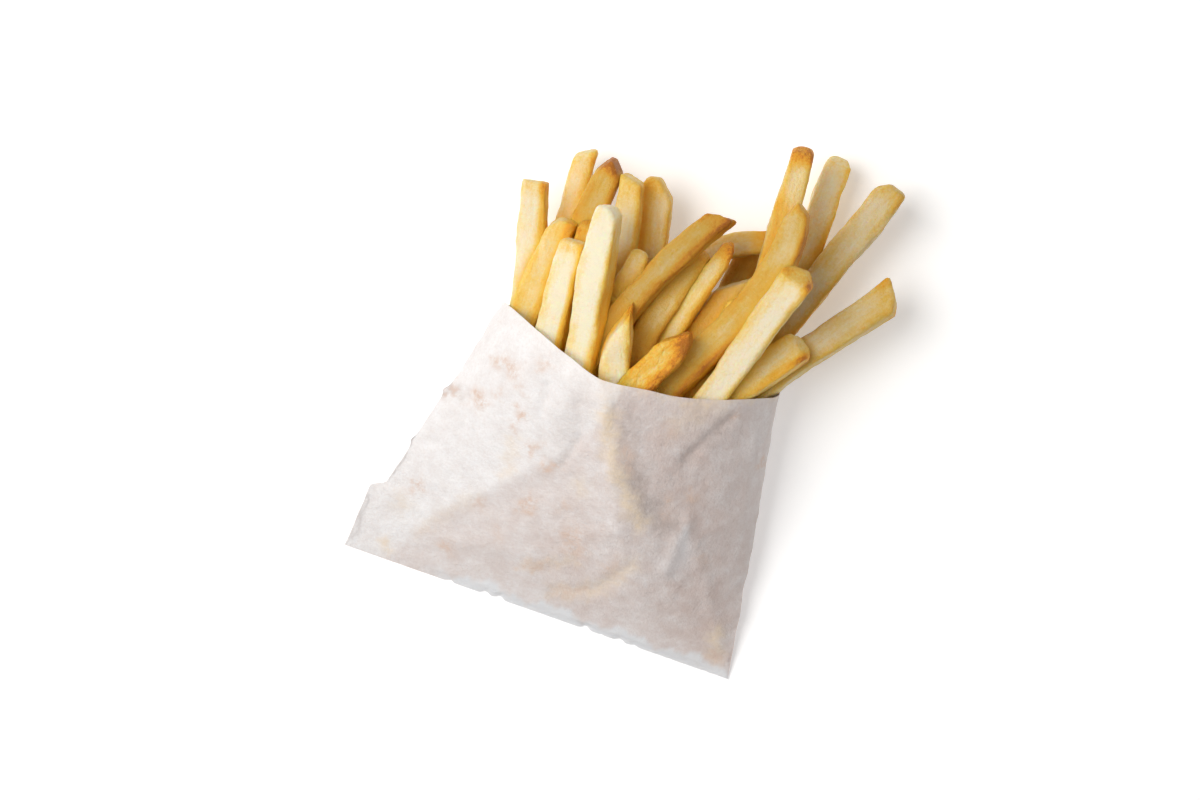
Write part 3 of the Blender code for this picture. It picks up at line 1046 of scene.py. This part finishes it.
    def build(self, finish: bpy.types.Material) -> bpy.types.Object:
        """Folds a flat sheet into the bag and crumples it.

        Args:
            finish: The paper's material.

        Returns:
            The bag.
        """
        bpy.ops.object.select_all(action="DESELECT")
        bpy.ops.mesh.primitive_grid_add(x_subdivisions=2 * self.columns, y_subdivisions=self.rows, size=1)
        bag = bpy.context.object
        bag.name = bag.data.name = "greaseproof_bag"
        flat = positions(bag) + np.array((0.5, 0.5, 0))
        sheet = self.relief(self.folded())
        column = np.rint(flat[:, 0] * 2 * self.columns).astype(int)
        row = np.rint(flat[:, 1] * self.rows).astype(int)
        set_positions(bag, sheet[row, column] * MM + np.array(self.seam))
        bpy.ops.object.mode_set(mode="EDIT")
        bpy.ops.mesh.select_all(action="SELECT")
        bpy.ops.mesh.remove_doubles(threshold=self.weld * MM)
        bpy.ops.object.mode_set(mode="OBJECT")
        self.stain_and_shade(bag)
        loose = "loose_paper"
        group = bag.vertex_groups.new(name=loose)
        inland = positions(bag)[:, 1] / MM - self.seam.y / MM
        for index, weight in enumerate(smooth_step((inland - self.loose_from) / self.loose_ease)):
            group.add([index], float(weight), "REPLACE")
        for pattern, grain, depth in self.crumples:
            uneven(bag, pattern, grain, depth, vertex_group=loose)
        points = positions(bag)
        points[:, 2] = np.maximum(points[:, 2], 0)
        set_positions(bag, points)
        finish_with(bag, "SOLIDIFY", thickness=self.paper * MM, offset=-1)
        bag.vertex_groups.clear()
        bag.data.materials.clear()
        bag.data.materials.append(finish)
        select_only(bag)
        bpy.ops.object.shade_smooth_by_angle(angle=math.radians(self.sharp_fold))
        LOG.info("%s: %d faces", bag.name, len(bag.data.polygons))
        return bag

    def stain_and_shade(self, bag: bpy.types.Object) -> None:
        """Paints grease stains and painted shade on the front of the bag, where the seam has stayed dry,
        and a painted highlight on one fold.

        Args:
            bag: The folded sheet.
        """
        points = (positions(bag) - np.array(self.seam)) / MM
        normals = np.array([vertex.normal.z for vertex in bag.data.vertices])
        faces_up = np.clip(normals * 4, 0, 1)
        x, y = points[:, 0], points[:, 1]
        # Waves of unlike lengths, under 1 mm high, make the edges of the stains and of the painted shade
        # wander.
        strayed_x = x + 0.7 * np.sin(1.3 * y + 1) + 0.5 * np.sin(2.9 * y + 0.4 * x)
        strayed_y = y + 0.8 * np.sin(1.1 * x) + 0.5 * np.sin(2.6 * x + 0.5 * y + 2)
        layers = (BUTTER_LINES, BLUSH_SPOTS, MAUVE_SHADE)
        felt = [sum(mark.felt_at(strayed_x, strayed_y) for mark in marks) for marks in layers]
        paint(bag, "stain_and_shade", [np.clip(total, 0, 1) * faces_up for total in felt])
        # Beyond the lit left facet's edge, the right and bottom facets take a painted shade.
        edge_x, edge_y = np.array(LIT_FACET_EDGE).T
        below = smooth_step((np.interp(x, edge_x, edge_y) - y) / 7 + 0.45)
        painted_facet_shade = below * (0.54 + 0.46 * sum(mark.felt_at(x, y) for mark in SHADED_FACET_MARKS))
        # The dry strip ends 2 to 6 mm up from the seam.
        ragged = 3.6 + 1.0 * np.sin(x * 0.31) + 0.7 * np.sin(x * 0.83 + 1) + 0.3 * np.sin(x * 2.3)
        dry_and_highlight = smooth_step((ragged - y) / 2.2 + 0.4) * smooth_step((x + 36) / 14)
        # A painted highlight on one fold joins the dry channel.
        dry_and_highlight = np.clip(dry_and_highlight + sum(mark.felt_at(x, y) for mark in FOLD_HIGHLIGHT), 0, 1)
        paint(bag, "facet_shade_and_dry", [painted_facet_shade, dry_and_highlight, np.zeros(len(x))])


FOLDS = (
    Mark(((-1.6, 62.9), (1.8, 56.6), (4.9, 49.5), (14.7, 37.7), (24.4, 30.6)), 3.0, 0.7),
    Mark(((30.0, 40.0), (29.2, 24.7)), 1.8, 0.9),
    Mark(((31.7, 37.4), (40.4, 25.4), (50.9, 10.4)), 2.2, 0.6),
    Mark(((-37.0, 17.6), (-20.9, 31.6), (-8.0, 45.0)), 3.0, 0.5),
    Mark(((32.2, 70.2), (24.1, 55.0)), 1.5, -0.8),
    Mark(((-17.5, 61.0), (-16.8, 52.0), (-12.0, 43.0)), 1.3, -0.95),
    Mark(((-8.5, 59.0), (-4.6, 52.0), (-6.4, 43.0)), 1.3, -0.9),
    Mark(((-12.4, 56.0), (-11.0, 47.0)), 2.6, 0.35),
    Mark(((2.0, 62.0), (3.4, 46.0)), 1.6, -0.5),
    Mark(((3.0, 8.3), (13.7, 12.9), (20.0, 22.8)), 2.0, -0.5),
    Mark(((-30.0, 12.0), (-10.0, 15.0), (3.0, 20.0)), 2.4, 0.4),
    Mark(((40.0, 66.0), (46.0, 40.0)), 2.0, 0.4),
    Mark(((-43.2, 51.3), (-38.0, 52.5)), 1.3, -0.7),
    Mark(((-47.4, 35.1), (-42.0, 36.0)), 1.2, -0.6),
)
BUTTER_LINES = (
    Mark(((0.6, 59.0), (2.2, 55.6), (4.9, 49.5), (9.9, 43.3), (14.7, 37.7), (18.5, 34.9)), 2.3, 0.85),
    Mark(((-1.6, 66.0), (0.6, 59.0)), 2.6, 0.3),
    Mark(((3.0, 8.3), (7.5, 9.7), (13.7, 12.9), (18.8, 19.9), (20.0, 22.8)), 2.2, 0.6),
    Mark(((-7.4, 12.2), (5.1, 18.6)), 1.5, 0.5),
    Mark(((-45.6, 17.4),), 3.0, 0.4),
    Mark(((-46.1, 4.3),), 2.0, 0.8),
    Mark(((-21.3, 44.2), (-20.1, 35.4)), 2.2, 0.4),
    Mark(((-38.0, 12.0), (-27.0, 26.0)), 2.0, 0.25),
    Mark(((0.1, 38.8),), 2.4, 0.5),
    Mark(((19.2, 63.8), (26.6, 71.4)), 3.2, 0.4),
    Mark(((-4.0, 68.5), (20.0, 69.5), (42.8, 80.0)), 1.0, 0.5),
    Mark(((49.0, 12.0), (51.5, 5.0)), 2.2, 0.7),
)
BLUSH_SPOTS = (
    *spots(
        (-32.1, 63.4, 2.0, 0.9), (-27.7, 62.6, 2.4, 1.0), (-24.0, 58.0, 1.4, 0.6), (-20.5, 66.2, 2.0, 0.8),
        (-34.0, 51.9, 2.4, 1.4), (-29.0, 54.5, 1.4, 0.7), (-42.2, 51.0, 1.6, 1.0), (-21.7, 52.2, 1.8, 1.1),
        (-22.4, 47.8, 1.2, 0.8), (-15.6, 44.6, 1.9, 1.0), (-43.0, 23.1, 1.9, 1.2), (-2.5, 32.0, 1.5, 0.8),
        (-24.6, 24.2, 1.9, 0.8), (-29.4, 9.8, 2.2, 1.1), (-17.0, 18.0, 2.4, 0.5), (15.5, 20.0, 2.6, 0.8),
        (28.8, 46.0, 1.7, 1.6), (23.4, 43.6, 1.3, 1.2), (24.5, 39.5, 1.8, 0.7), (17.0, 60.0, 2.6, 0.6),
        (51.8, 5.6, 1.9, 1.6), (46.6, 3.4, 1.6, 1.0), (39.3, 29.8, 1.3, 0.9), (36.5, 31.5, 1.0, 0.7),
        (32.2, 70.2, 1.2, 1.2),
    ),
    Mark(((-10.9, 40.8), (-8.8, 41.5)), 1.3, 1.7),
    Mark(((-11.2, 29.6), (-13.2, 27.6)), 1.9, 1.3),
    Mark(((1.7, 24.9), (4.5, 21.5)), 3.2, 0.9),
    Mark(((-7.4, 12.2), (-2.0, 14.5)), 1.5, 0.8),
    Mark(((3.0, 8.3), (10.0, 11.0)), 1.8, 0.7),
    Mark(((7.5, 53.0), (10.5, 47.5)), 1.6, 0.8),
    Mark(((45.0, 61.0), (44.2, 59.6)), 0.9, 1.6),
)
# The edge of the lit left facet: the right and bottom facets beyond it take a painted shade.
LIT_FACET_EDGE = (
    (-57.0, -12.0), (-44.0, 3.0), (-36.0, 16.6), (-20.9, 31.6),
    (-8.0, 45.0), (-2.0, 54.0), (1.5, 64.0), (3.0, 90.0),
)
# Painted shade on the right and bottom facets.
SHADED_FACET_MARKS = (
    Mark(((22.0, 60.0), (34.0, 36.0), (46.0, 12.0)), 15.0, 1.0),
    Mark(((2.0, 22.0), (12.0, 12.0)), 10.0, 0.6),
)
# A painted highlight on the lit side of one fold.
FOLD_HIGHLIGHT = (
    Mark(((30.4, 37.8), (30.9, 36.0)), 0.9, 0.5),
    Mark(((31.3, 34.6),), 1.9, 0.45),
    Mark(((31.8, 31.6),), 2.9, 0.4),
    Mark(((32.2, 28.0), (30.0, 26.0)), 3.8, 0.35),
)
# Painted shade in creases and on the dark side of folds.
MAUVE_SHADE = (
    Mark(((5.0, 60.0), (8.8, 50.0), (14.0, 44.0), (20.0, 39.0)), 3.6, 0.72),
    Mark(((-7.9, 60.2), (-9.3, 44.0)), 5.0, 0.35),
    Mark(((32.2, 70.0), (24.1, 55.0)), 2.0, 0.75),
    Mark(((24.0, 36.3), (28.4, 37.2)), 2.8, 0.75),
    Mark(((12.0, 48.0), (16.0, 40.0)), 3.0, 0.5),
    Mark(((-43.2, 51.3),), 1.4, 0.6),
    Mark(((-42.2, 51.0), (-38.0, 52.0)), 1.2, 0.5),
)


@dataclass
class Studio:
    """The table, the soft light and the camera that looks straight down."""

    seam: Vector
    lens: float = 85.0
    sensor: float = 36.0
    eye: Point = (-2.8, 62.5, 794.6)
    turn: float = 19.32
    table_size: float = 3.0
    table_gap: float = 0.1

    def table(self, finish: bpy.types.Material) -> bpy.types.Object:
        """Lays the table under the bag.

        Args:
            finish: The table's material.

        Returns:
            The table.
        """
        bpy.ops.object.select_all(action="DESELECT")
        bpy.ops.mesh.primitive_plane_add(size=self.table_size, location=(0, 0, -self.table_gap * MM))
        table = bpy.context.object
        table.name = "table"
        table.data.materials.append(finish)
        return table

    def light(self, name: str, place: Point, size: float, power: float, colour: Colour) -> None:
        """Hangs one soft light that faces the bag.

        Args:
            name: The light's name.
            place: Where it hangs, in mm from the seam's middle.
            size: The width of its square, in mm.
            power: Its power, in watts.
            colour: Its colour.
        """
        lamp = bpy.data.lights.new(name, "AREA")
        lamp.size = size * MM
        lamp.energy = power
        lamp.color = colour
        holder = bpy.data.objects.new(name, lamp)
        holder.location = Vector(place) * MM + self.seam
        towards = Vector(self.eye[:2]).to_3d() * MM + self.seam - holder.location
        holder.rotation_euler = towards.to_track_quat("-Z", "Y").to_euler()
        bpy.context.scene.collection.objects.link(holder)

    def camera(self) -> None:
        """Hangs the camera over the bag, at the photograph's angle."""
        eye = bpy.data.cameras.new("camera")
        eye.lens = self.lens
        eye.sensor_width = self.sensor
        eye.clip_start = 0.01
        holder = bpy.data.objects.new("camera", eye)
        place = Matrix.Translation(Vector(self.eye) * MM + self.seam)
        holder.matrix_world = place @ Matrix.Rotation(math.radians(self.turn), 4, "Z")
        bpy.context.scene.collection.objects.link(holder)
        bpy.context.scene.camera = holder

    def surroundings(self, colour: Colour, strength: float) -> None:
        """Fills the room with even light.

        Args:
            colour: The light's colour.
            strength: Its strength.
        """
        world = bpy.data.worlds.new("room")
        world.use_nodes = True
        background = world.node_tree.nodes["Background"]
        background.inputs["Color"].default_value = (*colour, 1)
        background.inputs["Strength"].default_value = strength
        bpy.context.scene.world = world
        bpy.context.scene.view_settings.view_transform = "Standard"


def main() -> None:
    """Builds the bag, its fries and the studio round the frame."""
    logging.basicConfig(level=logging.INFO, format="%(message)s")
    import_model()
    low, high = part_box("paper_bag")
    seam = Vector(((low.x + high.x) / 2, low.y, 0))

    bag = PaperBag(seam).build(GreaseproofPaper().material())
    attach(bag, "root")
    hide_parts("paper_bag")

    fries = FryBundle(seam).build(FriedPotato().material())
    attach(fries, "root")
    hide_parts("fries")

    studio = Studio(seam)
    studio.table(PaleTable().material())
    studio.light("key", place=(-430, 62, 730), size=560, power=5.9, colour=(1.0, 0.985, 0.965))
    studio.light("fill", place=(420, 300, 800), size=700, power=0.8, colour=(0.97, 0.98, 1.0))
    studio.surroundings(colour=(1.0, 1.0, 1.0), strength=0.32)
    studio.camera()


if __name__ == "__main__":
    main()
